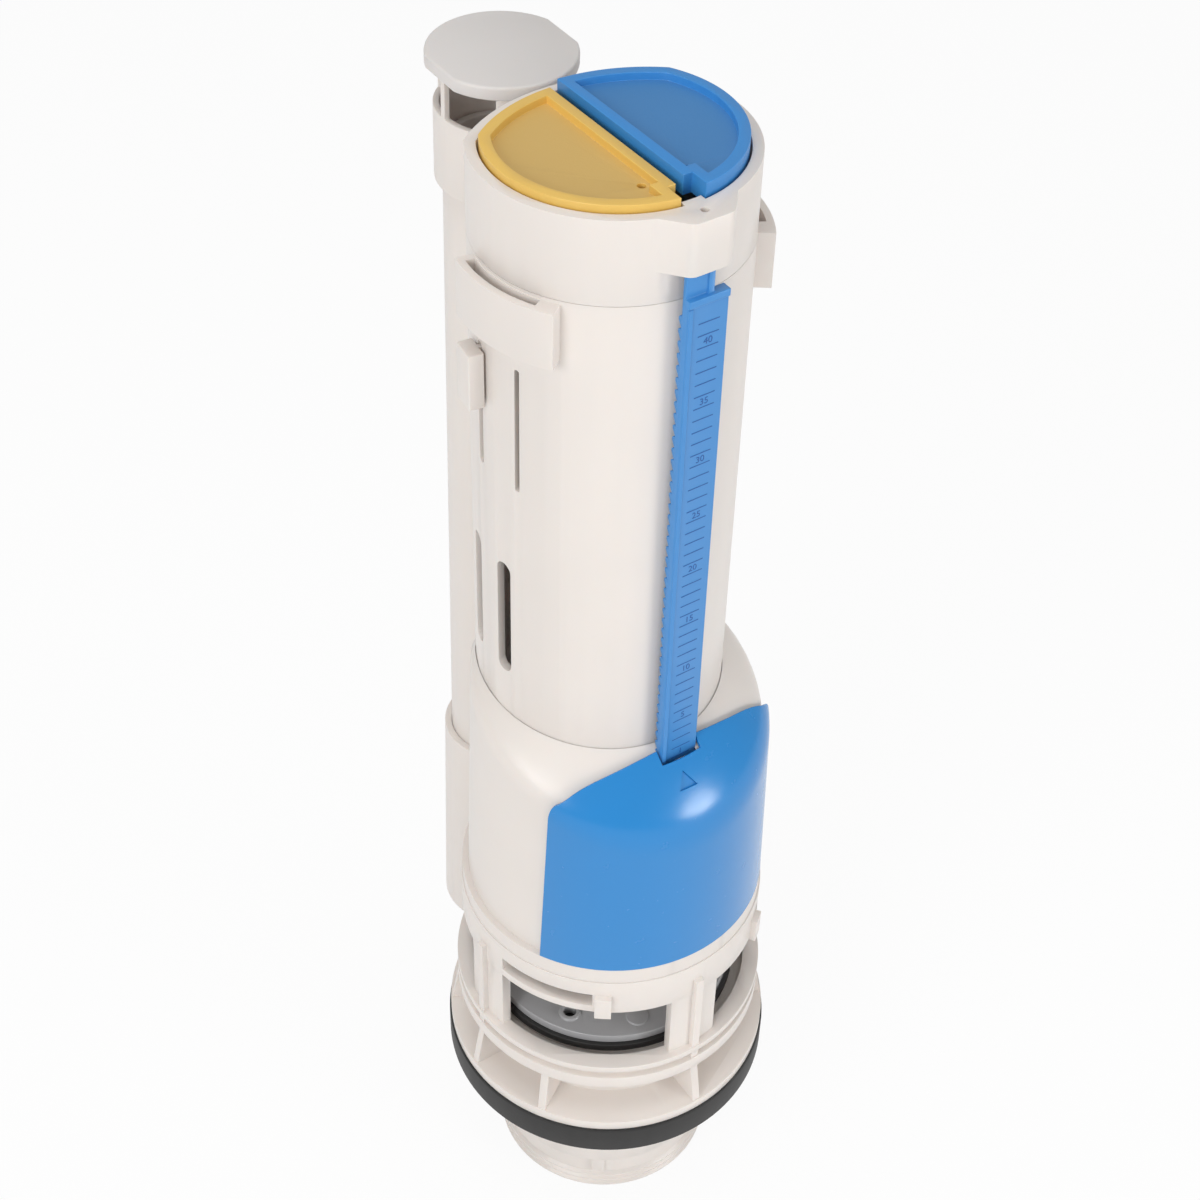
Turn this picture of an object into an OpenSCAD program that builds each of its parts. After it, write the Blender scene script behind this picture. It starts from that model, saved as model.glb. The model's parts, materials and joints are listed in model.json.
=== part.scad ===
// Dual flush cistern valve: a threaded outlet base with a caged seat, a domed lower body,
// a height adjustable tube with a split push button head, and an overflow pipe behind it.
// Millimetres, +Z up. The origin is on the outlet axis, level with the washer's underside.
// The scale strip is at the front (-Y) and the overflow pipe at the back (+Y).

/* [Outlet base] */
// outside radius of the outlet shank, a two inch pipe thread
shank_r = 29.8; // [28:0.1:31]
// length of shank below the washer
shank_len = 40; // [30:1:60]
// thickness of the shank
shank_wall = 3.5; // [3:0.1:6]
// length of the threaded end of the shank
thread_len = 8; // [5:0.5:20]
// length of the relief between thread and plain shank
relief_len = 6; // [3:0.5:10]
// distance between thread turns
thread_pitch = 2.3; // [1.5:0.1:4]
// depth of the thread
thread_depth = 0.9; // [0.4:0.1:1.4]
// outside radius of the rubber washer
washer_r = 44; // [40:0.5:48]
// thickness of the rubber washer
washer_h = 9.8; // [4:0.1:14]
// how far the flange stops short of the washer's edge
flange_inset = 0.5; // [0.2:0.1:1.5]
// thickness of the flange
flange_h = 3; // [2:0.1:5]
// height of the narrow waist above the flange
waist_h = 12.8; // [12.4:0.1:20]
// thickness of the waist
waist_wall = 2.6; // [2:0.1:4]
// height of the seat rim
rim_h = 8.6; // [7:0.1:12]
// how far the seat rim stops short of the washer's edge
rim_inset = 2.8; // [2:0.1:4]
// how far the seat rim stands out from the cage
rim_out = 1.8; // [1.2:0.1:3]
// thickness of the seat rim's upper lip
rim_lip = 1.9; // [1.4:0.1:2.6]
// width of the groove round the seat rim
rim_groove = 2.7; // [0.8:0.1:3.4]
// depth of the groove round the seat rim
groove_depth = 1.6; // [0.6:0.1:2.4]
// depth of the seat below the top of the rim
well_depth = 3; // [2:0.1:5]
// width of the ledge round the opening the seal closes
seat_ledge = 6.3; // [5.5:0.1:8]
// thickness of the cage wall
cage_wall = 3.2; // [2.6:0.1:3.6]
// height of the inlet windows
window_h = 21.2; // [16:0.1:26]
// height of the band above the windows
band_h = 11.8; // [10:0.1:18]
// height of the spigot that locates the lower body
spigot_h = 4; // [2:0.1:6]
// angle one cage post takes up
post_angle = 21; // [12:1:40]
// thickness of ribs and gussets
rib_t = 2.2; // [1.5:0.1:4]
// outside radius of the overflow elbow's spigot
port_r = 4.8; // [4:0.1:4.9]
// angle of each gap in the spigot where a corner of the tube passes
corner_gap = 56; // [50:1:60]

/* [Lower body] */
// how far the lower body's wall lies inside the cage's wall
foot_ledge = 1.8; // [1.2:0.1:2.2]
// inward lean of the wall per millimetre of height
body_draft = 0.012; // [0.008:0.002:0.02]
// thickness of the lower body
body_wall = 1.8; // [1.4:0.1:2.2]
// radius of the domed shoulder
dome_r = 58.6; // [57.6:0.1:66]
// centre of the dome behind the outlet axis
dome_y = 15; // [8:0.5:15]
// height of the dome's centre above the cage
dome_rise = 21.8; // [14:0.1:22]
// height of the bead round the foot
bead_h = 4.9; // [2:0.1:6]
// how far the bead stands out
bead_out = 1.5; // [1:0.1:1.7]
// thickness of the wall that guides the tube
guide_wall = 2; // [1.2:0.1:3]
// length of the wall that guides the tube, from the top of the dome
guide_len = 41.6; // [41:0.1:46]
// thickness of the blue front cover
cover_t = 1.5; // [1:0.1:2.5]
// distance from the outlet axis to the cover's cut edge
cover_y = 18.4; // [17:0.1:22]
// radius of the cover's arched top edge
cover_arc = 63.5; // [60:0.5:68]
// height of the arch above the cage
arch_rise = 67.5; // [66:0.1:68]
// gap between the bead and the cover's lower edge
cover_lift = 1.6; // [0.6:0.1:6]
// corner radius of the cover
cover_corner = 3; // [2:0.5:6]

/* [Tube and head] */
// how far the tube's wall lies inside the cage's wall
tube_step = 9.4; // [8.4:0.1:11]
// distance of the tube axis behind the outlet axis
tube_y = 8.3; // [7:0.1:9]
// how much larger the radius of the tube's flatter back is
back_flat = 10; // [8:0.5:12]
// how far the back's centre lies in front of the tube axis
back_shift = 15; // [13:0.5:17]
// thickness of the tube
tube_wall = 2; // [1.4:0.1:2.4]
// height of the tube's lower end above the cage
tube_lift = 40.8; // [40:0.2:46]
// length of the tube
tube_len = 151.4; // [140:0.2:180]
// height of the head above the seam
head_h = 19.6; // [18.6:0.1:24]
// thickness of the head's wall
head_wall = 2.4; // [1.8:0.1:3]
// thickness of the head's skirt inside the tube
skirt_wall = 1.8; // [1.2:0.1:2.4]
// length of the head's skirt
skirt_len = 9.4; // [6:0.1:14]
// height of the ledge above the seam
ledge_h = 1.8; // [1.2:0.1:2.4]
// height of the lug that holds the strip
lug_h = 12; // [10:0.5:14]
// half width of the lug's face between its corners
lug_half = 3.4; // [2:0.1:5]
// radius of the lug's corners
lug_corner = 2.8; // [1:0.1:4]
// angle of the lug's sides
lug_flare = 50; // [40:1:60]
// half width of the tab between the buttons
tab_half = 2.4; // [1:0.1:4]
// length of the tab between the buttons
tab_len = 7.3; // [5:0.1:9]

/* [Tube fittings] */
// half angle of each side bracket
bracket_half = 24.5; // [15:0.5:30]
// angle from the front to the middle of each bracket
bracket_mid = 78.5; // [70:0.5:85]
// how far the brackets stand out from the tube
bracket_out = 3.9; // [3:0.1:5]
// thickness of the bracket's outer wall
bracket_wall = 1.6; // [1:0.1:2.2]
// height of each bracket
bracket_h = 13.4; // [12:0.1:18]
// angle from the front to the latch slot
latch_angle = 98; // [92:1:104]
// travel of the half flush latch
latch_travel = 14; // [10:1:16]
// height of the latch block
latch_h = 14; // [10:0.5:16]
// width of the latch block
latch_w = 6.4; // [4:0.1:8]
// how far the latch block stands out from the tube
latch_out = 4; // [2:0.1:6]
// thickness of the latch stem
latch_stem = 1.3; // [1:0.1:3]
// angles from the front to the vent slots
vent_angles = [82, 105]; // [60:1:118]
// height of the vent slots above the tube's lower end
vent_rise = 43; // [38:1:48]
// length of the vent slots
vent_len = 33; // [15:1:45]
// width of the vent slots
vent_w = 4.5; // [2:0.1:6]
// angle from the front to the thin slits
slit_angle = 73.4; // [66:0.2:80]
// width of the thin slits
slit_w = 1.3; // [0.6:0.1:2]

/* [Scale strip] */
// width of the strip
strip_w = 10; // [8:0.1:12]
// thickness of the strip
strip_t = 2; // [1.4:0.1:2.6]
// height of the strip's lower end above the tube's lower end
strip_lift = 10; // [6:1:14]
// width of the neck held in the lug
neck_w = 6.6; // [4:0.1:8]
// length of neck below the lug
neck_len = 5.6; // [3:0.1:8]
// length of neck held inside the lug
neck_grip = 7; // [4:0.5:9]
// distance between teeth, one scale division
tooth_pitch = 3; // [2:0.1:4]
// depth of the teeth
tooth_h = 1; // [0.5:0.1:1.4]
// width of the toothed edge
tooth_w = 3; // [2:0.1:4]
// gap between the teeth and the tube
tooth_gap = 0.7; // [0.4:0.1:1]

/* [Buttons and levers] */
// how far the half flush button stands above the head
half_proud = 1.6; // [0:0.1:4]
// how far the full flush button stands above the head
full_proud = 3; // [0:0.1:4]
// thickness of a button at its rim
button_h = 4.6; // [3:0.1:6]
// depth of the dished face
dish_depth = 1.7; // [0.8:0.1:2.4]
// width of the button's rim
button_rim = 2.5; // [1.5:0.1:3.5]
// gap between the two buttons
button_gap = 1.7; // [0.8:0.1:3]
// button travel
button_travel = 8; // [6:0.5:8.5]
// radius of the finger hole in each button
button_hole = 0.9; // [0.5:0.1:1.4]
// radius of the push and guide posts under the buttons
post_r = 1.8; // [1.2:0.1:2.2]
// distance of the guide posts from the middle
guide_x = 12; // [10:0.5:14]
// guide posts in front of the tube axis
guide_y = 16.5; // [14:0.5:18]
// thickness of the lever carrier plate
plate_h = 2.2; // [1.6:0.1:3]
// drop of the lever pivots below the ledge
pivot_drop = 11.2; // [10.6:0.1:13]
// drop of the trip rod's eye below the pivots
eye_drop = 11; // [8:0.5:12]
// width of a lever
lever_w = 3; // [2:0.1:3.6]
// half thickness of a lever bar
lever_half = 1.5; // [1:0.1:1.8]
// pivot to the push end of a lever
lever_push = 8.8; // [8:0.1:9.4]
// radius of a lever's hub
hub_r = 3.2; // [2.6:0.1:3.4]
// radius of the lever pins
pin_r = 1.5; // [1:0.1:2]
// thickness of the cheeks that hold the pins
cheek_t = 2.3; // [1.5:0.1:2.6]
// half width of the cheeks that hold the pins
cheek_half = 3.6; // [3:0.1:4]

/* [Lift rods and valve] */
// radius of the valve stem
stem_r = 5; // [4:0.1:5.4]
// thickness of the valve stem
stem_wall = 1.4; // [1:0.1:2]
// length of the valve stem
stem_len = 161; // [150:1:170]
// thickness of the lift rod
rod_wall = 1.6; // [1.2:0.1:2]
// length of stem inside the lift rod
rod_overlap = 40; // [30:1:60]
// thickness of the lift tongues
tongue_h = 2.5; // [1.6:0.1:3]
// width of the lift tongues
tongue_w = 3; // [2:0.1:3.6]
// thickness of the valve plate
valve_h = 2.6; // [2:0.1:4]
// thickness of the rubber seal
seal_h = 2.8; // [2:0.1:4]
// thickness of the retainer under the seal
retainer_h = 2.2; // [1.4:0.1:4]
// radius of the valve float
float_r = 17; // [12:0.5:17.5]
// gap between valve plate and float
float_rise = 13.3; // [8:0.1:16]
// length of the valve float
float_h = 40; // [25:1:42]
// thickness of the floats
float_wall = 1.6; // [1:0.1:2.4]
// radius of the half flush trip rod
trip_r = 1.5; // [1:0.1:1.8]
// height of the half flush float
half_float_h = 46; // [30:1:48]
// width of the half flush float, front to back
half_float_w = 24; // [20:0.5:25]
// half flush float's front in front of the tube axis
half_float_front = 12.3; // [11:0.1:13]

/* [Overflow] */
// height of the socket's mouth above the cage
socket_rise = 7.8; // [6:0.1:9]
// outside radius of the overflow pipe
pipe_r = 13; // [11:0.1:13.4]
// thickness of the overflow pipe
pipe_wall = 1.7; // [1.2:0.1:2.4]
// length of pipe above the socket
pipe_len = 183; // [170:1:200]
// depth of the socket
socket_depth = 50; // [35:1:54]
// thickness of the socket at its mouth
socket_wall = 1.8; // [1.2:0.1:2.2]
// growth of the elbow's radius towards its foot
elbow_flare = 0.7; // [0.2:0.1:1.2]
// gap between the elbow's foot and the cistern floor
foot_gap = 4; // [2:0.5:8]
// thickness of the overflow sleeve
sleeve_wall = 1.5; // [1:0.1:2]
// length of the overflow sleeve
sleeve_len = 27; // [20:0.5:36]
// length of pipe inside the sleeve
sleeve_grip = 8; // [4:0.5:10]
// height of the windows under the cap
sleeve_window = 9; // [5:0.5:9.5]
// radius of the overflow cap
cap_r = 16.5; // [15.6:0.1:18]
// half width of the cap between its flats
cap_flat = 15.5; // [14:0.1:16]
// thickness of the overflow cap
cap_h = 3.2; // [2:0.1:5]
// thickness of the rib under the cap
cap_rib = 1.8; // [1:0.1:3]

/* [Clearances] */
// gap between pieces that slide past each other
slide_gap = 0.35; // [0.3:0.05:0.5]
// gap between pieces that are fixed together
fixed_gap = 0.1; // [0.05:0.01:0.15]
// gap of a pin in a turning hole
running_gap = 0.05; // [0.02:0.01:0.1]
// gap of a pin in a tight hole
tight_gap = 0.02; // [0.01:0.01:0.04]
// gap between buttons and head
button_clear = 0.5; // [0.35:0.05:0.8]
// gap between the overflow cap and the head
cap_gap = 0.4; // [0.35:0.05:2]
// gap between the push posts and the skirt
post_gap = 2.8; // [1:0.1:4]
// gap under the lift tongues and push posts
lift_gap = 0.4; // [0.35:0.05:0.6]

/* [Hidden] */
$fn = 96;
white = [0.90, 0.87, 0.84];
shade_white = [0.86, 0.84, 0.82];
blue = [0.20, 0.52, 0.86];
yellow = [0.93, 0.72, 0.33];
rubber = [0.10, 0.10, 0.10];
grey = [0.55, 0.56, 0.58];
clear_grey = [0.75, 0.77, 0.80];
steel = [0.70, 0.70, 0.72];
// heights of the base, from the washer up
flange_top = washer_h + flange_h;
rim_z = flange_top + waist_h;
rim_top = rim_z + rim_h;
seat_z = rim_top - well_depth;
window_top = rim_top + window_h;
cage_top = window_top + band_h;
plain_low = thread_len + relief_len - shank_len;
// radii of the base
flange_r = washer_r - flange_inset;
bore_r = shank_r - shank_wall;
neck_r = shank_r - 0.5;
rim_r = washer_r - rim_inset;
cage_r = rim_r - rim_out;
cage_in = cage_r - cage_wall;
well_r = cage_r - 2.5;
seat_r = well_r - seat_ledge;
waist_r = seat_r + waist_wall;
rib_r = rim_r - 0.4;
rib_foot = flange_r - 0.4;
groove_top = rim_top - rim_lip;
// lower body and cover
body_r = cage_r - foot_ledge;
spigot_top = cage_top + spigot_h;
spigot_r = body_r - body_wall - body_draft * spigot_h - fixed_gap;
spigot_in = spigot_r - 1.4;
dome_z = cage_top + dome_rise;
dome_top = dome_z + dome_r;
guide_low = dome_top - guide_len;
cover_z = cage_top + bead_h + cover_lift;
arch_z = cage_top + arch_rise - cover_arc;
cover_half = cover_side(cover_z);
shoulder_half = cover_side(arch_z + sqrt(pow(cover_arc, 2) - pow(cover_half, 2)));
// tube and head
tube_r = cage_r - tube_step;
back_r = tube_r + back_flat;
tube_low = cage_top + tube_lift;
seam_z = tube_low + tube_len;
head_top = seam_z + head_h;
ledge_z = seam_z + ledge_h;
carrier_top = ledge_z + plate_h;
skirt_out = tube_wall + fixed_gap;
skirt_in = skirt_out + skirt_wall;
tube_front = tube_y - tube_r;
corner_y = (pow(back_r, 2) - pow(tube_r, 2) - pow(back_shift, 2)) / (2 * back_shift);
corner_turn = 90 + atan2(tube_y + corner_y, sqrt(pow(tube_r, 2) - pow(corner_y, 2)));
bracket_r = tube_r + bracket_out;
bracket_top = seam_z - 0.8;
bracket_low = bracket_top - bracket_h;
// latch and half flush float
latch_slot = latch_stem + 2 * slide_gap;
latch_len = latch_h + latch_travel + 4;
latch_top = bracket_low - 6.2;
half_float_top = latch_top - latch_h / 2;
half_float_low = half_float_top - half_float_h;
half_float_r = tube_wall + 1.2;
// scale strip and its lug
strip_back = tube_front - tooth_gap - tooth_h;
strip_y = strip_back - strip_t;
neck_y = strip_y + 0.4;
lug_front = tube_y - strip_y + 0.5;
lug_low = head_top - lug_h;
strip_top = lug_low - neck_len;
strip_low = tube_low + strip_lift;
tooth_low = strip_low + 4;
tooth_count = floor((strip_top - tooth_low - 4) / tooth_pitch);
slot_half = strip_w / 2 + slide_gap + 0.2;
// buttons and levers
button_inset = head_wall + button_clear;
rod_bore = stem_r + slide_gap + 0.05;
rod_r = rod_bore + rod_wall;
post_x = tube_r - skirt_in - post_r - post_gap;
pivot_z = ledge_z - pivot_drop;
lever_tilt = asin(button_travel / 2 / lever_push);
lever_y = rod_r + lever_w / 2 + 0.5;
pivot_x = post_x - lever_push * cos(lever_tilt) - 0.5;
tongue_x = 0.3;
lever_lift = (pivot_x - tongue_x - tongue_w) / cos(lever_tilt);
push_face = pivot_z + lever_push * sin(lever_tilt) + lever_half + lift_gap;
lift_face = pivot_z - lever_lift * sin(lever_tilt) + lever_half + lift_gap;
cheek_gap = lever_w / 2 + 0.3;
trip_x = -tongue_x - tongue_w / 2;
trip_y = lever_y + lever_w / 2 + trip_r + 0.6;
eye_z = pivot_z - eye_drop;
half_float_x = rod_r + 1.8;
// valve, from the seat up
seal_z = seat_z + 0.05;
valve_z = seal_z + seal_h;
seal_r = well_r - 2.9;
plate_r = seal_r - 1;
retainer_r = seat_r - 5.2;
plate_hole_r = plate_r - 5.5;
stem_low = seal_z - retainer_h;
stem_top = stem_low + stem_len;
rod_low = stem_top - rod_overlap;
rod_top = ledge_z - 4.2;
float_low = valve_z + valve_h + float_rise;
// overflow: the pipe leans so that its cap just clears the head
socket_top = cage_top + socket_rise;
elbow_top_r = pipe_r + fixed_gap + socket_wall;
elbow_r = elbow_top_r + elbow_flare;
elbow_len = socket_top - foot_gap;
elbow_face = rim_r + 0.1;
collar_r = port_r + 1.4;
port_z = flange_top + collar_r + 0.2;
port_face = elbow_face - 1.8;
socket_front = elbow_face - 0.8;
pipe_y = socket_front + elbow_top_r;
sleeve_r = pipe_r + slide_gap + sleeve_wall;
sleeve_low = pipe_len - sleeve_grip;
sleeve_top = sleeve_low + sleeve_len;
cap_y = tube_y + back_r - back_shift + cap_gap + cap_r;
pipe_tilt = atan((pipe_y - cap_y) / (sleeve_top + cap_h));

// plan of the tube: a round front and a flatter back
module d_plan(inset) {
    intersection() {
        circle(r = tube_r - inset);
        translate([0, -back_shift]) circle(r = back_r - inset);
    }
}

// solid bar with the tube's plan between two heights
module d_bar(inset, low, high) {
    translate([0, tube_y, low]) linear_extrude(high - low) d_plan(inset);
}

module on_tube_axis() {
    translate([0, tube_y, 0]) children();
}

// overflow axis, leaning towards the tube; local zero is the mouth of the socket
module on_pipe_axis() {
    translate([0, pipe_y, socket_top]) rotate([pipe_tilt, 0, 0]) children();
}

// round bar along the spigot's axis, from a distance behind the outlet axis towards the front
module port_bar(back, front, r) {
    translate([0, back, port_z]) rotate([90, 0, 0]) cylinder(h = back - front, r = r);
}

// ring sector centred on an angle from the front
module ring_sector(r_in, r_out, low, high, mid, sweep) {
    rotate([0, 0, mid - sweep / 2 - 90])
        rotate_extrude(angle = sweep)
            translate([r_in, low]) square([r_out - r_in, high - low]);
}

// upright plate standing on a radius, drawn as radius and height
module fin(angle, points) {
    rotate([0, 0, angle - 90])
        translate([0, rib_t / 2, 0])
            rotate([90, 0, 0]) linear_extrude(rib_t) polygon(points);
}

// upright slot with round ends through the tube wall
module wall_slot(angle, low, len, width) {
    on_tube_axis() rotate([0, 0, angle])
        translate([0, 4 - tube_r, low + width / 2]) rotate([90, 0, 0])
            linear_extrude(8) {
                translate([-width / 2, 0]) square([width, len - width]);
                circle(r = width / 2);
                translate([0, len - width]) circle(r = width / 2);
            }
}

// thread ridges as points of the shank's profile
function thread_points() = [
    for (turn = [0 : floor(thread_len / thread_pitch) - 1])
        each [
            [shank_r - thread_depth, (turn + 0.3) * thread_pitch - shank_len],
            [shank_r, (turn + 0.6) * thread_pitch - shank_len],
            [shank_r, (turn + 0.8) * thread_pitch - shank_len],
            [shank_r - thread_depth, (turn + 1.1) * thread_pitch - shank_len]
        ]
];

// outlet shank, flange, waist, rim and seat as one turned shape
module base_turning() {
    rotate_extrude()
        polygon(concat(
            [[bore_r, -shank_len], [shank_r - thread_depth, -shank_len]],
            thread_points(),
            [[shank_r - thread_depth, plain_low],
             [shank_r, plain_low],
             [shank_r, 0],
             [neck_r, 0],
             [neck_r, washer_h],
             [flange_r, washer_h],
             [flange_r, flange_top],
             [waist_r, flange_top],
             [waist_r, rim_z],
             [rim_r, rim_z],
             [rim_r, groove_top - rim_groove],
             [rim_r - groove_depth, groove_top - rim_groove],
             [rim_r - groove_depth, groove_top],
             [rim_r, groove_top],
             [rim_r, rim_top],
             [well_r, rim_top],
             [well_r, seat_z - 1.2],
             [seat_r + 2.6, seat_z - 1.2],
             [seat_r + 2, seat_z],
             [seat_r + 0.6, seat_z],
             [seat_r, seat_z - 0.6],
             [seat_r, flange_top],
             [bore_r, washer_h + 1]]));
}

// band over the inlet windows with a spigot for the lower body
module cage_ring() {
    rotate_extrude()
        polygon([[cage_in, window_top], [cage_r, window_top], [cage_r, cage_top - fixed_gap],
                 [spigot_r, cage_top - fixed_gap], [spigot_r, spigot_top],
                 [spigot_in, spigot_top], [spigot_in, cage_top - 2],
                 [cage_in, cage_top - 2 - (cage_in - spigot_in)]]);
}

module seat_base() {
    color(white) difference() {
        union() {
            base_turning();
            cage_ring();
            for (angle = [0, 90, 180, 270])
                ring_sector(cage_in + 0.2, cage_r - 0.2, rim_top - 0.5, window_top + 0.5,
                            angle, post_angle);
            for (angle = [0, 90, 270])
                fin(angle, [[waist_r - 0.5, flange_top - 0.5], [rib_foot, flange_top - 0.5],
                            [rib_r, rim_z], [rib_r, rim_top + 2],
                            [rib_r, window_top + band_h / 2],
                            [cage_r - 1, window_top + band_h / 2],
                            [cage_r - 1, rim_z + 0.5], [waist_r - 0.5, rim_z + 0.5]]);
            for (angle = [58, 122, 238, 302])
                fin(angle, [[waist_r - 0.5, flange_top - 0.5], [rib_foot, flange_top - 0.5],
                            [rib_r, rim_z + 0.5], [waist_r - 0.5, rim_z + 0.5]]);
            for (side = [-1, 1])
                ring_sector(cage_r - 1, cage_r + 1.6, window_top - 0.6, cage_top - 5,
                            side * 37, 6);
            for (angle = [37, 97, 157, 203, 263, 323])
                ring_sector(bore_r + 1, shank_r - 0.1, plain_low - relief_len, plain_low + 0.5,
                            angle, 7);
            port_bar(port_face, seat_r + 1, port_r + 2);
        }
        for (side = [-1, 1])
            ring_sector(cage_in - 1, cage_r + 1, window_top + 2.4, window_top + 6.8,
                        side * 60, 38);
        for (side = [-1, 1])
            ring_sector(spigot_in - 1, cage_in + 0.3, cage_top - 5, spigot_top + 1,
                        side * corner_turn, corner_gap);
        port_bar(rim_r, seat_r - 6, port_r + fixed_gap);
        translate([-rim_r, socket_front, rim_z - 1]) cube([2 * rim_r, rim_r, rim_h + 2]);
    }
}

module mounting_washer() {
    color(rubber) rotate_extrude()
        polygon([[neck_r + fixed_gap, 0.8], [shank_r + 0.3, 0], [washer_r - 0.6, 0],
                 [washer_r, 0.6],
                 [washer_r, washer_h - 0.6], [washer_r - 0.6, washer_h],
                 [neck_r + fixed_gap, washer_h]]);
}

// ball that shapes the shoulder, grown by an amount
module dome_ball(grow) {
    translate([0, dome_y, dome_z]) rotate([90, 0, 0]) sphere(r = dome_r + grow);
}

// tapered wall of the lower body, grown by an amount
module body_cone(grow, low) {
    translate([0, 0, low])
        cylinder(h = dome_top - low,
                 r1 = body_r + grow - body_draft * (low - cage_top),
                 r2 = body_r + grow - body_draft * (dome_top - cage_top));
}

// outer shape shared by the lower body and its cover, grown by an amount
module body_shape(grow, low) {
    intersection() {
        body_cone(grow, low);
        dome_ball(grow);
    }
}

// opening through the shoulder for the scale strip
module strip_opening() {
    translate([-slot_half, strip_y - slide_gap - 0.3, cage_top])
        cube([2 * slot_half, tube_front - strip_y + 2, dome_top - cage_top]);
}

module lower_body() {
    color(white) difference() {
        union() {
            body_shape(0, cage_top);
            translate([0, 0, cage_top]) cylinder(h = bead_h, r = body_r + bead_out);
        }
        difference() {
            body_shape(-body_wall, cage_top - 1);
            d_bar(-slide_gap - guide_wall, guide_low, dome_top + 1);
        }
        d_bar(-slide_gap, guide_low - 1, dome_top + 1);
        strip_opening();
    }
}

// half the width of the cover at a height, where its face meets the cut edge
function cover_side(z) =
    sqrt(pow(body_r + cover_t + fixed_gap - body_draft * (z - cage_top), 2) - pow(cover_y, 2)) - 0.1;

// front outline of the cover: leaning sides, arched top and soft corners between
module cover_outline() {
    corner_x = shoulder_half - cover_corner;
    corner_z = arch_z + sqrt(pow(cover_arc - cover_corner, 2) - pow(corner_x, 2));
    polygon([[-cover_half, cover_z], [cover_half, cover_z],
             [shoulder_half, corner_z], [-shoulder_half, corner_z]]);
    for (side = [-1, 1])
        translate([side * corner_x, corner_z]) circle(r = cover_corner);
    translate([0, arch_z]) intersection() {
        circle(r = cover_arc);
        polygon([[0, 0], [2 * corner_x, 2 * (corner_z - arch_z)],
                 [-2 * corner_x, 2 * (corner_z - arch_z)]]);
    }
}

module front_cover() {
    color(blue) difference() {
        intersection() {
            body_shape(cover_t + fixed_gap, cage_top);
            translate([0, -cover_y, 0]) rotate([90, 0, 0]) linear_extrude(body_r) cover_outline();
        }
        body_shape(fixed_gap, cage_top);
        strip_opening();
    }
}

module overflow_elbow() {
    color(white) difference() {
        union() {
            on_pipe_axis() translate([0, 0, -elbow_len])
                cylinder(h = elbow_len, r1 = elbow_r, r2 = elbow_top_r);
            port_bar(pipe_y, elbow_face, collar_r);
            port_bar(pipe_y, seat_r + 1.5, port_r);
        }
        on_pipe_axis() translate([0, 0, -socket_depth - fixed_gap])
            cylinder(h = socket_depth + 5, r = pipe_r + fixed_gap);
        on_pipe_axis() translate([0, 0, 3 - elbow_len])
            cylinder(h = elbow_len, r = pipe_r - pipe_wall);
        port_bar(pipe_y, 0, port_r - 1.4);
        cylinder(h = flange_top + fixed_gap, r = washer_r + slide_gap);
    }
}

module elbow_seal() {
    color(rubber) difference() {
        port_bar(elbow_face - fixed_gap, port_face + fixed_gap, collar_r - 0.05);
        port_bar(elbow_face + 1, port_face - 1, port_r + fixed_gap);
    }
}

module overflow_pipe() {
    color(white) on_pipe_axis() difference() {
        translate([0, 0, -socket_depth]) cylinder(h = socket_depth + pipe_len, r = pipe_r);
        translate([0, 0, -socket_depth - 1])
            cylinder(h = socket_depth + pipe_len + 2, r = pipe_r - pipe_wall);
    }
}

module overflow_sleeve() {
    color(white) on_pipe_axis() difference() {
        translate([0, 0, sleeve_low]) cylinder(h = sleeve_len, r = sleeve_r);
        translate([0, 0, sleeve_low - 1])
            cylinder(h = sleeve_len + 2, r = sleeve_r - sleeve_wall);
        for (angle = [62, 118, 242, 298])
            ring_sector(sleeve_r - sleeve_wall - 1, sleeve_r + 1,
                        sleeve_top - sleeve_window, sleeve_top + 1, angle, 50);
    }
}

module overflow_cap() {
    rib_half = sleeve_r - sleeve_wall - fixed_gap;
    color(shade_white) on_pipe_axis() {
        translate([0, 0, sleeve_top + fixed_gap]) intersection() {
            cylinder(h = cap_h, r = cap_r);
            translate([-cap_flat, -cap_r - 1, -1]) cube([2 * cap_flat, 2 * cap_r + 2, cap_h + 2]);
        }
        translate([-cap_rib / 2, -rib_half, sleeve_top - sleeve_window])
            cube([cap_rib, 2 * rib_half, sleeve_window + 1]);
    }
}

// open topped pocket on the side of the tube
module side_bracket(side) {
    on_tube_axis() difference() {
        ring_sector(tube_r - 0.5, bracket_r, bracket_low, bracket_top,
                    side * bracket_mid, 2 * bracket_half);
        ring_sector(tube_r + 0.3, bracket_r - bracket_wall, bracket_low + 2, bracket_top + 1,
                    side * (bracket_mid + 2.5), 2 * bracket_half - 11);
    }
}

module main_tube() {
    color(white) difference() {
        union() {
            difference() {
                d_bar(0, tube_low, seam_z);
                d_bar(tube_wall, tube_low - 1, seam_z + 1);
            }
            side_bracket(-1);
            side_bracket(1);
        }
        for (side = [-1, 1]) {
            for (angle = vent_angles)
                wall_slot(side * angle, tube_low + vent_rise, vent_len, vent_w);
            wall_slot(side * slit_angle, latch_top - latch_len, latch_len, slit_w);
        }
        wall_slot(-latch_angle, latch_top - latch_len, latch_len, latch_slot);
    }
}

// plan of the strip lug, with flared sides and round corners
module lug_plan() {
    corner = [lug_half, lug_corner - lug_front];
    edge = corner + lug_corner * [sin(lug_flare), -cos(lug_flare)];
    root = edge + 10 * [cos(lug_flare), sin(lug_flare)];
    polygon([[-lug_half, -lug_front], [lug_half, -lug_front], edge, root,
             [-root[0], root[1]], [-edge[0], edge[1]]]);
    for (side = [-1, 1])
        translate([side * corner[0], corner[1]]) circle(r = lug_corner);
}

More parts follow.
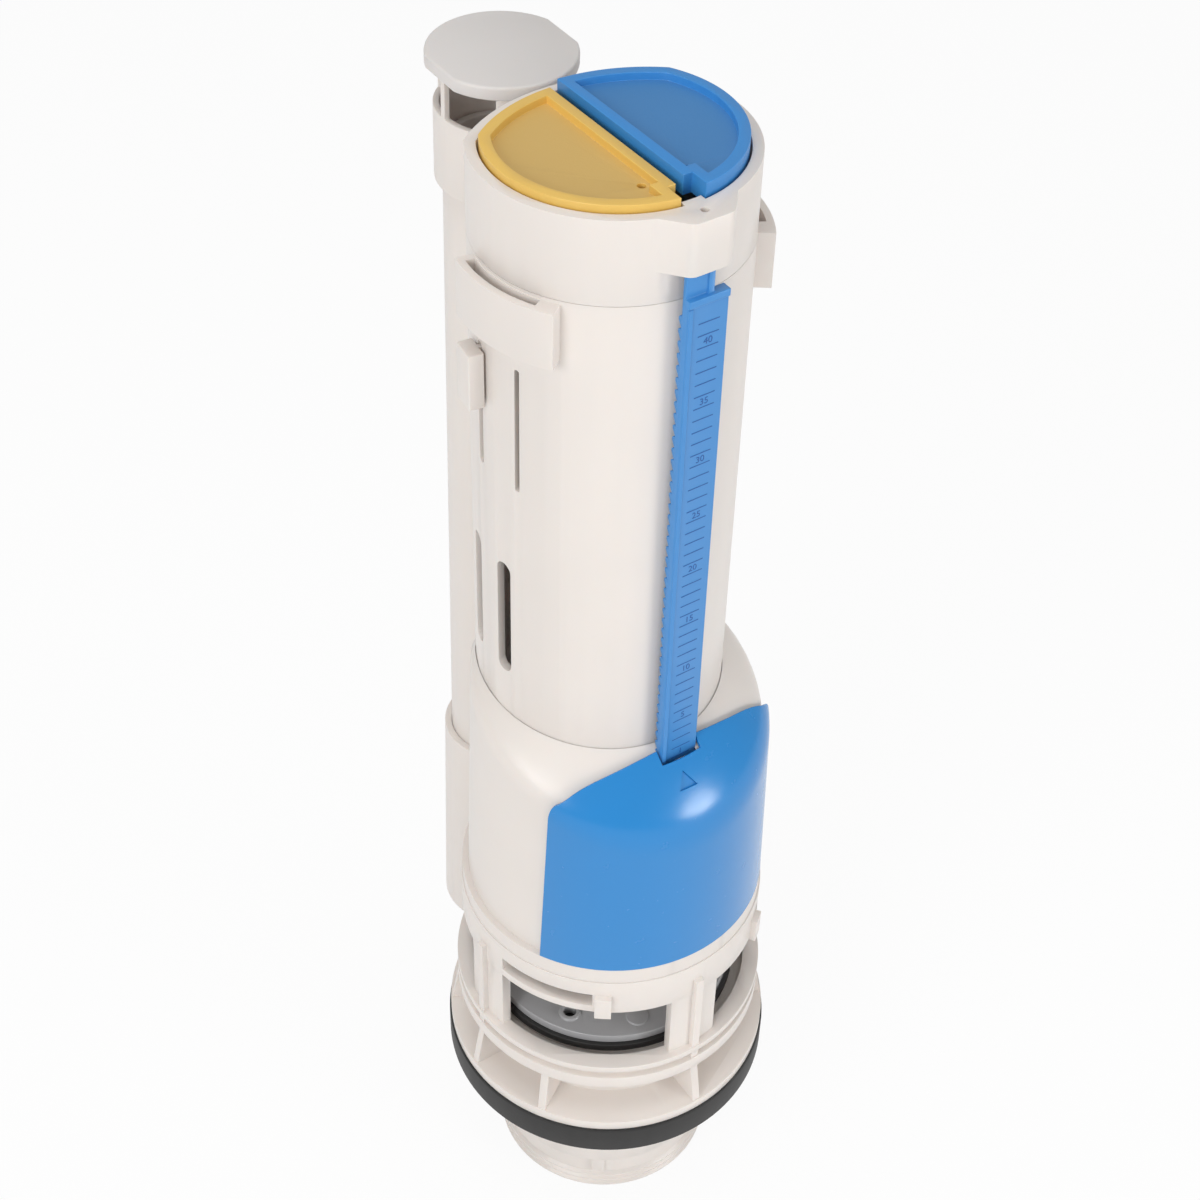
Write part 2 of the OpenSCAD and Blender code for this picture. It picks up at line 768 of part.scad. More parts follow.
module head_ring() {
    color(white) difference() {
        union() {
            d_bar(0, seam_z + fixed_gap, head_top);
            d_bar(skirt_out, seam_z - skirt_len, seam_z + 1);
            translate([0, tube_y, lug_low]) linear_extrude(lug_h) lug_plan();
        }
        difference() {
            d_bar(head_wall, ledge_z, head_top + 1);
            translate([-tab_half, tube_front, carrier_top + 1])
                cube([2 * tab_half, tab_len, head_top - carrier_top - 1]);
        }
        d_bar(skirt_in, seam_z - skirt_len - 1, head_top);
        translate([-strip_w / 2 - fixed_gap, neck_y - fixed_gap, lug_low - 1])
            cube([neck_w + 2 * fixed_gap, strip_back - neck_y + 2 * fixed_gap, neck_grip + 1.5]);
        translate([0, tube_y - lug_front + 3.6, head_top - 3]) cylinder(h = 4, r = button_hole);
    }
}

// saw teeth along the back of the strip, drawn as depth and height
function tooth_points() = [
    for (tooth = [0 : tooth_count - 1])
        each [
            [0, tooth_low + tooth * tooth_pitch],
            [tooth_h, tooth_low + (tooth + 0.6) * tooth_pitch],
            [tooth_h, tooth_low + (tooth + 0.85) * tooth_pitch]
        ]
];

module scale_strip() {
    neck_h = neck_len + neck_grip + 1;
    color(blue) {
        translate([-strip_w / 2, strip_y, strip_low])
            cube([strip_w, strip_t, strip_top - strip_low]);
        translate([-strip_w / 2, strip_y - 0.5, strip_top - 1.8])
            cube([strip_w, 1, 1.8]);
        translate([-strip_w / 2, neck_y + 0.5, strip_top - 1])
            cube([neck_w, strip_back - neck_y - 0.5, neck_h]);
        translate([neck_w - 1.5 - strip_w / 2, neck_y, strip_top - 1])
            cube([1.5, strip_back - neck_y, neck_h]);
        translate([-strip_w / 2, strip_back, 0])
            rotate([90, 0, 90]) linear_extrude(tooth_w)
                polygon(concat([[-0.3, tooth_low - 1]], tooth_points(),
                               [[0, tooth_low + tooth_count * tooth_pitch],
                                [-0.3, tooth_low + tooth_count * tooth_pitch + 1]]));
    }
}

// pair of cheeks that carry one lever pin
module lever_cheeks(side) {
    for (front = [lever_y - cheek_gap - cheek_t, lever_y + cheek_gap])
        translate([side * pivot_x - cheek_half, front, pivot_z - cheek_half])
            cube([2 * cheek_half, cheek_t, pivot_drop + cheek_half + 0.5]);
}

module lever_carrier() {
    color(shade_white) difference() {
        union() {
            d_bar(head_wall + 0.3, ledge_z, carrier_top);
            lever_cheeks(-1);
            lever_cheeks(1);
            translate([trip_x - 2.8, trip_y + trip_r + 0.5, eye_z])
                cube([5.6, 2.2, ledge_z - eye_z + 0.5]);
            translate([trip_x - 2.8, trip_y - trip_r - 1.5, eye_z])
                cube([5.6, 2 * trip_r + 3, 3]);
        }
        translate([0, 0, ledge_z - 1]) cylinder(h = plate_h + 2, r = rod_r + slide_gap);
        translate([-tongue_w - 1, 0, ledge_z - 1])
            cube([2 * tongue_w + 2, trip_y + trip_r + 0.4, plate_h + 2]);
        translate([trip_x, trip_y, eye_z - 1]) cylinder(h = 5, r = trip_r + slide_gap);
        for (side = [-1, 1]) {
            translate([side * post_x, lever_y, ledge_z - 1])
                cylinder(h = plate_h + 2, r = post_r + slide_gap);
            translate([side * guide_x, tube_y - guide_y, ledge_z - 1])
                cylinder(h = plate_h + 2, r = post_r + slide_gap);
            translate([side * pivot_x, lever_y + 10, pivot_z]) rotate([90, 0, 0])
                cylinder(h = 20, r = pin_r + tight_gap);
        }
    }
}

module lever_pins() {
    color(steel) for (side = [-1, 1])
        translate([side * pivot_x, lever_y + cheek_gap + cheek_t, pivot_z]) rotate([90, 0, 0])
            cylinder(h = 2 * (cheek_gap + cheek_t), r = pin_r);
}

// half of the head's plan, on one side of the split between the buttons
module half_plan(side, inset, rim) {
    difference() {
        intersection() {
            d_plan(inset + rim);
            translate([side * (tube_r + button_gap / 2 + rim), 0])
                square([2 * tube_r, 2 * tube_r], center = true);
        }
        translate([-tab_half - button_clear - rim, -tube_r])
            square([2 * (tab_half + button_clear + rim), tab_len + button_clear + rim]);
    }
}

// dished button with a push post for the lever and a guide post
module button(side, top, hole_y) {
    under = top - button_h;
    difference() {
        union() {
            translate([0, tube_y, under]) linear_extrude(button_h)
                half_plan(side, button_inset, 0);
            translate([side * post_x, lever_y, push_face]) {
                cylinder(h = post_r, r1 = post_r / 4, r2 = post_r);
                translate([0, 0, post_r]) cylinder(h = under + 1 - push_face - post_r, r = post_r);
            }
            translate([side * guide_x, tube_y - guide_y, ledge_z - 4])
                cylinder(h = under + 5 - ledge_z, r = post_r);
        }
        translate([0, tube_y, top - dish_depth]) linear_extrude(dish_depth + 1)
            half_plan(side, button_inset, button_rim);
        translate([side * 5.2, tube_y - hole_y, under - 1])
            cylinder(h = button_h + 2, r = button_hole);
    }
}

module half_button() {
    color(yellow) button(-1, head_top + half_proud, 17);
}

module full_button() {
    color(blue) button(1, head_top + full_proud, 18.2);
}

// lever on its pivot, push end raised and lifting end low
module lever(side) {
    translate([side * pivot_x, lever_y, pivot_z]) rotate([0, -side * lever_tilt, 0])
        difference() {
            union() {
                translate([side > 0 ? -lever_lift : -lever_push, -lever_w / 2, -lever_half])
                    cube([lever_lift + lever_push, lever_w, 2 * lever_half]);
                for (spot = [[-side * lever_lift, lever_half], [side * lever_push, lever_half],
                             [0, hub_r]])
                    translate([spot[0], lever_w / 2, 0]) rotate([90, 0, 0])
                        cylinder(h = lever_w, r = spot[1]);
            }
            translate([0, lever_w, 0]) rotate([90, 0, 0])
                cylinder(h = 2 * lever_w, r = pin_r + running_gap);
        }
}

module half_lever() {
    color(grey) lever(-1);
}

module full_lever() {
    color(grey) lever(1);
}

module lift_rod() {
    color(shade_white) difference() {
        union() {
            translate([0, 0, rod_low]) cylinder(h = rod_top - rod_low, r = rod_r);
            translate([tongue_x, 0, lift_face])
                cube([tongue_w, lever_y + lever_w / 2, tongue_h]);
        }
        translate([0, 0, rod_low - 1]) cylinder(h = rod_top - rod_low + 2, r = rod_bore);
    }
}

module half_trip_rod() {
    foot_x = slide_gap - half_float_x;
    color(shade_white) {
        translate([trip_x, trip_y, half_float_low])
            cylinder(h = lift_face - half_float_low + 1, r = trip_r);
        translate([-tongue_x - tongue_w, lever_y - lever_w / 2, lift_face])
            cube([tongue_w, trip_y - lever_y + lever_w / 2 + trip_r, tongue_h]);
        translate([foot_x, trip_y - trip_r, half_float_low])
            cube([trip_x - foot_x, 2 * trip_r, 2]);
    }
}

// bucket of air inside the tube, open below and cut to the tube's plan
module half_float() {
    width = tube_r - half_float_x;
    color(shade_white) difference() {
        intersection() {
            d_bar(half_float_r, half_float_low, half_float_top);
            translate([-tube_r, tube_y - half_float_front, half_float_low - 1])
                cube([width, half_float_w, half_float_h + 2]);
        }
        intersection() {
            d_bar(half_float_r + float_wall, half_float_low - 1, half_float_top - float_wall);
            translate([-tube_r, tube_y - half_float_front + float_wall, half_float_low - 1])
                cube([width - float_wall, half_float_w - 2 * float_wall, half_float_h + 1]);
        }
    }
}

// thumb block outside the tube with a stem through the slot to the half flush float
module latch_slider() {
    low = latch_top - latch_h - 1;
    color(white) on_tube_axis() rotate([0, 0, -latch_angle]) {
        translate([-latch_w / 2, -tube_r - latch_out, low])
            cube([latch_w, latch_out - slide_gap, latch_h]);
        translate([-latch_stem / 2, -tube_r - 1, low])
            cube([latch_stem, half_float_r + 1 - 0.05, latch_h]);
    }
}

module valve_stem() {
    color(shade_white) difference() {
        union() {
            translate([0, 0, stem_low]) cylinder(h = stem_len, r = stem_r);
            translate([0, 0, valve_z + valve_h + fixed_gap]) cylinder(h = 3, r = 2 * stem_r);
        }
        translate([0, 0, stem_low - 1]) cylinder(h = stem_len - 3, r = stem_r - stem_wall);
    }
}

module valve_plate() {
    color(grey) difference() {
        union() {
            translate([0, 0, valve_z]) cylinder(h = valve_h, r = plate_r);
            for (angle = [-56, 124])
                rotate([0, 0, angle]) translate([0, -plate_hole_r, valve_z])
                    cylinder(h = valve_h + 0.8, r = 2.8);
            for (angle = [-18, 162])
                rotate([0, 0, angle]) translate([0, -plate_hole_r, valve_z])
                    cylinder(h = valve_h + 0.5, r = 3);
        }
        translate([0, 0, valve_z - 1]) cylinder(h = valve_h + 2, r = stem_r + fixed_gap);
        for (angle = [-56, 124])
            rotate([0, 0, angle]) translate([0, -plate_hole_r, valve_z - 1])
                cylinder(h = valve_h + 3, r = 1.7);
    }
}

module seal_ring() {
    color(rubber) rotate_extrude()
        polygon([[2 * stem_r, seal_z], [seal_r - 0.4, seal_z], [seal_r, seal_z + 0.4],
                 [seal_r, valve_z - 0.05], [2 * stem_r, valve_z - 0.05]]);
}

module seal_retainer() {
    color(clear_grey) difference() {
        translate([0, 0, stem_low]) cylinder(h = retainer_h - 0.05, r = retainer_r);
        translate([0, 0, stem_low - 1]) cylinder(h = retainer_h + 2, r = stem_r + fixed_gap);
    }
}

// air bell round the stem, open below
module valve_float() {
    inner = stem_r + fixed_gap;
    color(white) difference() {
        translate([0, 0, float_low]) cylinder(h = float_h, r = float_r);
        translate([0, 0, float_low - 1]) difference() {
            cylinder(h = float_h + 1 - float_wall, r = float_r - float_wall);
            cylinder(h = float_h + 1, r = inner + float_wall);
        }
        translate([0, 0, float_low - 1]) cylinder(h = float_h + 2, r = inner);
    }
}

seat_base();
mounting_washer();
lower_body();
front_cover();
overflow_elbow();
elbow_seal();
overflow_pipe();
overflow_sleeve();
overflow_cap();
main_tube();
head_ring();
scale_strip();
lever_carrier();
lever_pins();
half_button();
full_button();
half_lever();
full_lever();
lift_rod();
half_trip_rod();
half_float();
latch_slider();
valve_stem();
valve_plate();
seal_ring();
seal_retainer();
valve_float();
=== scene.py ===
"""Looks of a dual flush cistern valve: white mouldings, blue cover and scale strip, two buttons."""

import json
import math

import bmesh
import bpy
from mathutils import Matrix, Vector

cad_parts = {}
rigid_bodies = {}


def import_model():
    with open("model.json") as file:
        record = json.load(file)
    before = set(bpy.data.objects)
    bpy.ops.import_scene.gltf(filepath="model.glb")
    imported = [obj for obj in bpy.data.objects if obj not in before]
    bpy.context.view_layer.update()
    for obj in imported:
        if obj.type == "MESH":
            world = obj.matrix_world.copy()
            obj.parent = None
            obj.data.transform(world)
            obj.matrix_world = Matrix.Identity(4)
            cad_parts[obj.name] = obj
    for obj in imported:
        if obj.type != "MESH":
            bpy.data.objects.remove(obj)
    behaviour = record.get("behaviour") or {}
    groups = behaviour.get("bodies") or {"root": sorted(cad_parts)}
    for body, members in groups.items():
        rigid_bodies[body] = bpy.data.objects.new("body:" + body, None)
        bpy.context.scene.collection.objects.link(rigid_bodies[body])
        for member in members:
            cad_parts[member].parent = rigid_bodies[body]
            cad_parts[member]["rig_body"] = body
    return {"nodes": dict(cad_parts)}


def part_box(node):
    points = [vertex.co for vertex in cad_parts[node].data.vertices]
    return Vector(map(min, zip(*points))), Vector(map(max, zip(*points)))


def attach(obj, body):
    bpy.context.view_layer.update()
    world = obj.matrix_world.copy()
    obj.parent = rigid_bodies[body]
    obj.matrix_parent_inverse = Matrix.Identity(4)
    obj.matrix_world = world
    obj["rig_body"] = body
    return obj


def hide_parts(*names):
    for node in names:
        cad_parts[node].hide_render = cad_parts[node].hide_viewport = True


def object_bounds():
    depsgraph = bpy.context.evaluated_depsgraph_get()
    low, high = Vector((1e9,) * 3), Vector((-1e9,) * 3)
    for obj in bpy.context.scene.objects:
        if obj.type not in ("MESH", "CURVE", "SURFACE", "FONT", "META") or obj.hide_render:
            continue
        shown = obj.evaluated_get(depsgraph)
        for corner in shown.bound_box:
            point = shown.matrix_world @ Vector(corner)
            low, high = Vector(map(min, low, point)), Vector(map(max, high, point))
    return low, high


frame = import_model()
cad_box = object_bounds()
mm = 0.001


# Outlet base
# One white injection moulding: threaded shank, flange over the washer, seat rim and inlet cage.
# It stands in the hole of the cistern floor, and everything else is built up on it.


def moulded(name, colour, roughness, mottle=0.025, skin=0.12, glow=0.1):
    """Moulded plastic: faint flow marks, uneven gloss and a fine skin, lit a little from within."""
    plastic = bpy.data.materials.new(name)
    plastic.use_nodes = True
    nodes = plastic.node_tree.nodes
    link = plastic.node_tree.links.new
    shader = nodes["Principled BSDF"]
    place = nodes.new("ShaderNodeTexCoord")
    flow = nodes.new("ShaderNodeTexNoise")
    flow.inputs["Scale"].default_value = 38
    flow.inputs["Detail"].default_value = 4
    tint = nodes.new("ShaderNodeMix")
    tint.data_type = "RGBA"
    tint.inputs[6].default_value = [part * (1 - mottle) for part in colour] + [1]
    tint.inputs[7].default_value = [min(1, part * (1 + mottle)) for part in colour] + [1]
    gloss = nodes.new("ShaderNodeTexNoise")
    gloss.inputs["Scale"].default_value = 320
    gloss.inputs["Detail"].default_value = 5
    spread = nodes.new("ShaderNodeMapRange")
    spread.inputs["To Min"].default_value = roughness - 0.06
    spread.inputs["To Max"].default_value = roughness + 0.06
    grain = nodes.new("ShaderNodeTexNoise")
    grain.inputs["Scale"].default_value = 1700
    grain.inputs["Detail"].default_value = 3
    bump = nodes.new("ShaderNodeBump")
    bump.inputs["Strength"].default_value = skin
    bump.inputs["Distance"].default_value = 0.05 * mm
    for texture in (flow, gloss, grain):
        link(place.outputs["Object"], texture.inputs["Vector"])
    link(flow.outputs["Fac"], tint.inputs["Factor"])
    link(tint.outputs[2], shader.inputs["Base Color"])
    link(gloss.outputs["Fac"], spread.inputs["Value"])
    link(spread.outputs["Result"], shader.inputs["Roughness"])
    link(grain.outputs["Fac"], bump.inputs["Height"])
    link(bump.outputs["Normal"], shader.inputs["Normal"])
    shader.inputs["Subsurface Weight"].default_value = glow
    shader.inputs["Subsurface Radius"].default_value = (1.0, 0.6, 0.4)
    shader.inputs["Subsurface Scale"].default_value = 2.5 * mm
    return plastic


def as_piece(name, mesh, material, body, slot, *stands_for):
    """New object that rides on a body and takes the place of the CAD nodes named last."""
    mesh.materials.clear()
    mesh.materials.append(material)
    piece = bpy.data.objects.new(name, mesh)
    bpy.context.scene.collection.objects.link(piece)
    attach(piece, body)
    if stands_for:
        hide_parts(*stands_for)
    return piece


def settled(piece):
    """The piece with its modifiers made into plain mesh."""
    bpy.context.view_layer.update()
    finished = piece.evaluated_get(bpy.context.evaluated_depsgraph_get())
    mesh = bpy.data.meshes.new_from_object(finished)
    piece.modifiers.clear()
    piece.data = mesh
    mesh.name = piece.name
    return piece


def round_edges(piece, edge, segments=3, crease=36):
    """Rounds the sharp edges off, as a mould leaves them."""
    rounding = piece.modifiers.new("rounding", "BEVEL")
    rounding.width = edge
    rounding.segments = segments
    rounding.limit_method = "ANGLE"
    rounding.angle_limit = math.radians(crease)
    rounding.use_clamp_overlap = True
    rounding.harden_normals = True
    piece.data.shade_smooth()
    return settled(piece)


def softened(name, node, edge, material, slot, segments=3):
    """Copy of a CAD node with rounded edges, which stands for the node."""
    solid = frame["nodes"][node]
    mesh = bpy.data.meshes.new(name)
    shape = bmesh.new()
    shape.from_mesh(solid.data)
    bmesh.ops.remove_doubles(shape, verts=shape.verts, dist=0.002 * mm)
    bmesh.ops.dissolve_limit(
        shape, angle_limit=math.radians(0.3), verts=shape.verts, edges=shape.edges
    )
    shape.to_mesh(mesh)
    shape.free()
    piece = as_piece(name, mesh, material, solid["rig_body"], slot, node)
    return round_edges(piece, edge, segments)


warm_white = moulded("warm_white_plastic", (0.78, 0.725, 0.68), 0.34)
softened("outlet_base_moulding", "seat_base", 0.35 * mm, warm_white, "white_plastic", 2)


# Mounting washer
# Thick ring of black moulded rubber, pushed up the shank against the flange.
# It seals the valve to the floor of the cistern.


def rubber_finish(name, shade):
    """Black rubber: dull, with a fine pebbled skin and a dusty bloom in places."""
    rubber = bpy.data.materials.new(name)
    rubber.use_nodes = True
    nodes = rubber.node_tree.nodes
    link = rubber.node_tree.links.new
    shader = nodes["Principled BSDF"]
    place = nodes.new("ShaderNodeTexCoord")
    bloom = nodes.new("ShaderNodeTexNoise")
    bloom.inputs["Scale"].default_value = 90
    bloom.inputs["Detail"].default_value = 6
    dust = nodes.new("ShaderNodeMix")
    dust.data_type = "RGBA"
    dust.inputs[6].default_value = [shade * 0.8] * 3 + [1]
    dust.inputs[7].default_value = [shade * 1.35, shade * 1.27, shade * 1.22, 1]
    pebble = nodes.new("ShaderNodeTexVoronoi")
    pebble.inputs["Scale"].default_value = 1500
    bump = nodes.new("ShaderNodeBump")
    bump.inputs["Strength"].default_value = 0.25
    bump.inputs["Distance"].default_value = 0.06 * mm
    link(place.outputs["Object"], bloom.inputs["Vector"])
    link(place.outputs["Object"], pebble.inputs["Vector"])
    link(bloom.outputs["Fac"], dust.inputs["Factor"])
    link(dust.outputs[2], shader.inputs["Base Color"])
    link(pebble.outputs["Distance"], bump.inputs["Height"])
    link(bump.outputs["Normal"], shader.inputs["Normal"])
    shader.inputs["Roughness"].default_value = 0.55
    return rubber


black_rubber = rubber_finish("black_rubber", 0.018)
softened("rubber_washer", "mounting_washer", 0.5 * mm, black_rubber, "rubber")


# Valve
# A grey plate with a black seal under it closes the outlet, and hangs on a hollow stem with an air
# bell that keeps it open while the cistern empties. It shows through the windows of the cage.


def set_surface(material, socket, value):
    """Sets one value of a material's surface."""
    material.node_tree.nodes["Principled BSDF"].inputs[socket].default_value = value


plate_grey = moulded("plate_grey_plastic", (0.42, 0.42, 0.43), 0.22, glow=0.0)
set_surface(plate_grey, "Coat Weight", 0.5)
inner_white = moulded("inner_white_plastic", (0.70, 0.67, 0.64), 0.42)
softened("valve_disc", "valve_plate", 0.4 * mm, plate_grey, "grey_plastic")
softened("valve_seal", "seal_ring", 0.25 * mm, black_rubber, "rubber")
softened("seal_clamp", "seal_retainer", 0.3 * mm, plate_grey, "grey_plastic")
softened("hollow_stem", "valve_stem", 0.3 * mm, inner_white, "inner_plastic")
softened("air_bell", "valve_float", 0.4 * mm, inner_white, "inner_plastic")


# Lower body
# White domed housing, moulded in one piece and snapped on the cage. A tapered wall runs softly
# into a dome round the opening for the tube, with a slot at the front for the scale strip.

foot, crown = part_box("lower_body")
foot_z = foot.z
bead_r = crown.x
bead_h = 4.9 * mm
bead_out = 1.5 * mm
body_r = bead_r - bead_out
body_wall = 1.8 * mm
body_taper = 0.026
dome_r = 58.6 * mm
dome_y = 15 * mm
dome_lift = 21.8 * mm
dome_z = foot_z + dome_lift
shoulder_blend = 3 * mm
tube_y = 8.3 * mm
slide_gap = 0.35 * mm
tube_gap = 0.15 * mm
tube_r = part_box("head_ring")[1].x
back_flattening = 10 * mm
back_shift = 15 * mm
tube_back_r = tube_r + back_flattening
tube_back_y = tube_y - back_shift
guide_wall = 2 * mm
guide_len = 41.6 * mm
guide_low = dome_z + dome_r - guide_len
guide_chamfer = 1 * mm
lip_h = 2.5 * mm
corner_wall = 1.2 * mm
# The stop at the strip's top and the rail along its edge stand this far in front of its face.
strip_stop = 0.5 * mm
rail_relief = 0.3 * mm
slot_half = 5.55 * mm
slot_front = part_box("scale_strip")[0].y + strip_stop - slide_gap - rail_relief
halvings = 40


def soft_least(first, second, blend):
    """The lesser of two lengths, rounded off where they cross."""
    share = min(1, max(0, 0.5 + 0.5 * (second - first) / blend))
    return second + (first - second) * share - blend * share * (1 - share)


def circle_reach(turn, centre_y, radius):
    """Distance along a turn to a circle that is centred on the Y axis and holds the origin."""
    across = centre_y * math.sin(turn)
    return across + math.sqrt(radius**2 - (centre_y * math.cos(turn)) ** 2)


def opening_reach(turn):
    """Distance to the edge of the opening for the tube, without the strip's slot."""
    front = circle_reach(turn, tube_y, tube_r + tube_gap)
    back = circle_reach(turn, tube_back_y, tube_back_r + tube_gap)
    return min(front, back)


def body_reach(turn, height, grow=0.0):
    """Distance from the outlet axis to the body's skin, at a turn from +X and a height."""
    wall = body_r + grow - body_taper * (height - foot_z)
    if height <= dome_z:
        return wall
    if height > guide_low:
        wall = max(wall, min(opening_reach(turn) + corner_wall, wall + height - guide_low))
    across = dome_y * math.sin(turn)
    left = across**2 - dome_y**2 + (dome_r + grow) ** 2 - (height - dome_z) ** 2
    dome = across + math.sqrt(left) if left > 0 else 0
    return soft_least(wall, dome, shoulder_blend)


def along(points, count):
    """The same line through points, cut into steps of equal length."""
    lengths = [0]
    for first, second in zip(points, points[1:]):
        lengths.append(lengths[-1] + math.dist(first, second))
    result = []
    spot = 0
    for step in range(count):
        target = lengths[-1] * step / (count - 1)
        while spot < len(points) - 2 and lengths[spot + 1] < target:
            spot += 1
        span = lengths[spot + 1] - lengths[spot]
        share = (target - lengths[spot]) / span if span else 0
        result.append(
            tuple(a + (b - a) * share for a, b in zip(points[spot], points[spot + 1]))
        )
    return result


fine_steps = 120
outside_points = 40
guide_steps = 8
inside_points = 24


def body_section(turn, reach):
    """Outline of the wall at one turn: up the outside, down the guide, and back inside."""
    start = foot_z + bead_h
    low, high = start, dome_z + dome_r
    for _ in range(halvings):
        middle = (low + high) / 2
        if body_reach(turn, middle) > reach:
            low = middle
        else:
            high = middle
    heights = [start + (low - start) * step / fine_steps for step in range(fine_steps)]
    outside = [(body_reach(turn, z), z) for z in heights]
    outside = along(outside + [(reach, low)], outside_points)
    guide = [
        (reach, low + (guide_low - low) * step / guide_steps) for step in range(1, guide_steps + 1)
    ]
    guide_r = reach + guide_wall
    lining = [(max(r - body_wall, reach + slide_gap), z) for r, z in reversed(outside)]
    inner_foot = (body_r - body_wall, foot_z)
    pocket = [(r, z) for r, z in lining if z < low - lip_h and r > guide_r]
    if len(pocket) > 1 and pocket[0][1] > guide_low:
        inside = along(pocket + [inner_foot], inside_points)
        guide_end = [(guide_r, guide_low), (guide_r, inside[0][1])]
    else:
        below = [(r, z) for r, z in lining if z < guide_low - guide_chamfer]
        inside = along(below + [inner_foot], inside_points)
        wall_r = below[0][0]
        guide_end = [((reach + wall_r) / 2, guide_low), (wall_r, guide_low - guide_chamfer / 2)]
    return [(bead_r, foot_z), (bead_r, start)] + outside + guide + guide_end + inside


round_steps = 167
slot_steps = 10
slot_turn = math.asin(slot_half / (tube_r + tube_gap))
turns = []
for step in range(round_steps + 1):
    turn = -math.pi / 2 + slot_turn + (2 * math.pi - 2 * slot_turn) * step / round_steps
    turns.append((turn, opening_reach(turn)))
slot_spread = math.pi / 2 + math.atan2(slot_front, slot_half)
for step in range(slot_steps + 1):
    turn = math.pi * 3 / 2 - slot_spread + 2 * slot_spread * step / slot_steps
    turns.append((turn, slot_front / math.sin(turn)))

body_shape = bmesh.new()
columns = [
    [
        body_shape.verts.new((r * math.cos(turn), r * math.sin(turn), z))
        for r, z in body_section(turn, reach)
    ]
    for turn, reach in turns
]
for column, following in zip(columns, columns[1:] + columns[:1]):
    for spot in range(len(column)):
        after = (spot + 1) % len(column)
        body_shape.faces.new((column[spot], following[spot], following[after], column[after]))
bmesh.ops.recalc_face_normals(body_shape, faces=body_shape.faces)
body_mesh = bpy.data.meshes.new("domed_lower_body")
body_shape.to_mesh(body_mesh)
body_shape.free()
round_edges(
    as_piece("domed_lower_body", body_mesh, warm_white, "base", "white_plastic", "lower_body"),
    0.3 * mm,
)


# Front cover
# Polished blue cover, clipped over the front of the lower body. Its top is notched for the scale
# strip, and a small arrow cut into it marks the place where the scale is read.

cover_low_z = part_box("front_cover")[0].z
cover_t = 1.5 * mm
cover_gap = 0.1 * mm
cover_back_gap = 0.5 * mm
cover_edge_y = 18.4 * mm
cover_arc = 63.5 * mm
cover_arc_z = 71.2 * mm
corner_w = 2.5 * mm
corner_h = 5 * mm
cover_swell = 0.5 * mm
notch_lip = 1.1 * mm
notch_y = slot_front - notch_lip
settling_passes = 25


def cover_point(x, z):
    """Point of the cover's outer face at a place on its front view."""
    y = -math.sqrt(max(body_r**2 - x**2, 0))
    for _ in range(settling_passes):
        reach = body_reach(math.atan2(y, x), z, cover_t + cover_gap)
        y = -math.sqrt(max(reach**2 - x**2, 0))
    return Vector((x, y, z))


def cover_side(z):
    """Half the width of the cover at a height below its rounded corners."""
    reach = body_r + cover_t + cover_gap - body_taper * (z - foot_z)
    return math.sqrt(reach**2 - cover_edge_y**2)


notch_low, notch_high = dome_z, dome_z + dome_r
for _ in range(halvings):
    notch_z = (notch_low + notch_high) / 2
    if cover_point(0, notch_z).y < notch_y:
        notch_low = notch_z
    else:
        notch_high = notch_z

corner_x = cover_side(notch_z) - corner_w
corner_turn = math.atan2(corner_h / corner_w, corner_x / math.sqrt(cover_arc**2 - corner_x**2))
arch_x = corner_x + corner_w * math.cos(corner_turn)
arch_turn = math.acos(arch_x / cover_arc)
corner_z = cover_arc_z + cover_arc * math.sin(arch_turn) - corner_h * math.sin(corner_turn)
slot_end = math.acos(slot_half / cover_arc)

side_steps = 30
foot_half = cover_side(cover_low_z)
side_edge = []
for step in range(side_steps + 1):
    z = cover_low_z + (corner_z - cover_low_z) * step / side_steps
    straight = foot_half + (corner_x + corner_w - foot_half) * (step / side_steps)
    side_edge.append((min(cover_side(z), straight), z))

corner_steps = 8
lower_corner, upper_corner = [
    [
        (corner_x + corner_w * math.cos(turn), corner_z + corner_h * math.sin(turn))
        for turn in (
            corner_turn * (start + step / (2 * corner_steps)) for step in range(1, corner_steps + 1)
        )
    ]
    for start in (0, 0.5)
]

top_steps = 40
top_edge = []
for step in range(top_steps + 1):
    share = step / top_steps
    turn = arch_turn + (slot_end - arch_turn) * share
    swell = cover_swell * math.sin(math.pi * math.sqrt(share)) ** 3
    top_edge.append((cover_arc * math.cos(turn), cover_arc_z + cover_arc * math.sin(turn) + swell))

notch_rows = 42
upper_rows = 8
side_columns = 40
middle_columns = 12
rows = notch_rows + upper_rows
slot_top_z = top_edge[-1][1]
slot_edge_z = [
    cover_low_z + (notch_z - cover_low_z) * row / notch_rows for row in range(notch_rows)
]
slot_edge_z += [
    notch_z + (slot_top_z - notch_z) * row / upper_rows for row in range(upper_rows + 1)
]
outer_edge = along(side_edge + lower_corner, rows + 1)
over_top = lower_corner[-1:] + upper_corner[:-1] + top_edge
upper_edge = along(list(reversed(over_top)), side_columns + 1)
lower_edge = [
    (slot_half + (side_edge[0][0] - slot_half) * step / side_columns, cover_low_z)
    for step in range(side_columns + 1)
]


def patch_place(across, up):
    """Place in the cover's right half, spread evenly between its four edges."""
    u, v = across / side_columns, up / rows
    return [
        (1 - v) * lower_edge[across][axis]
        + v * upper_edge[across][axis]
        + (1 - u) * (slot_half, slot_edge_z[up])[axis]
        + u * outer_edge[up][axis]
        - (1 - u) * (1 - v) * lower_edge[0][axis]
        - u * (1 - v) * lower_edge[-1][axis]
        - (1 - u) * v * upper_edge[0][axis]
        - u * v * upper_edge[-1][axis]
        for axis in (0, 1)
    ]


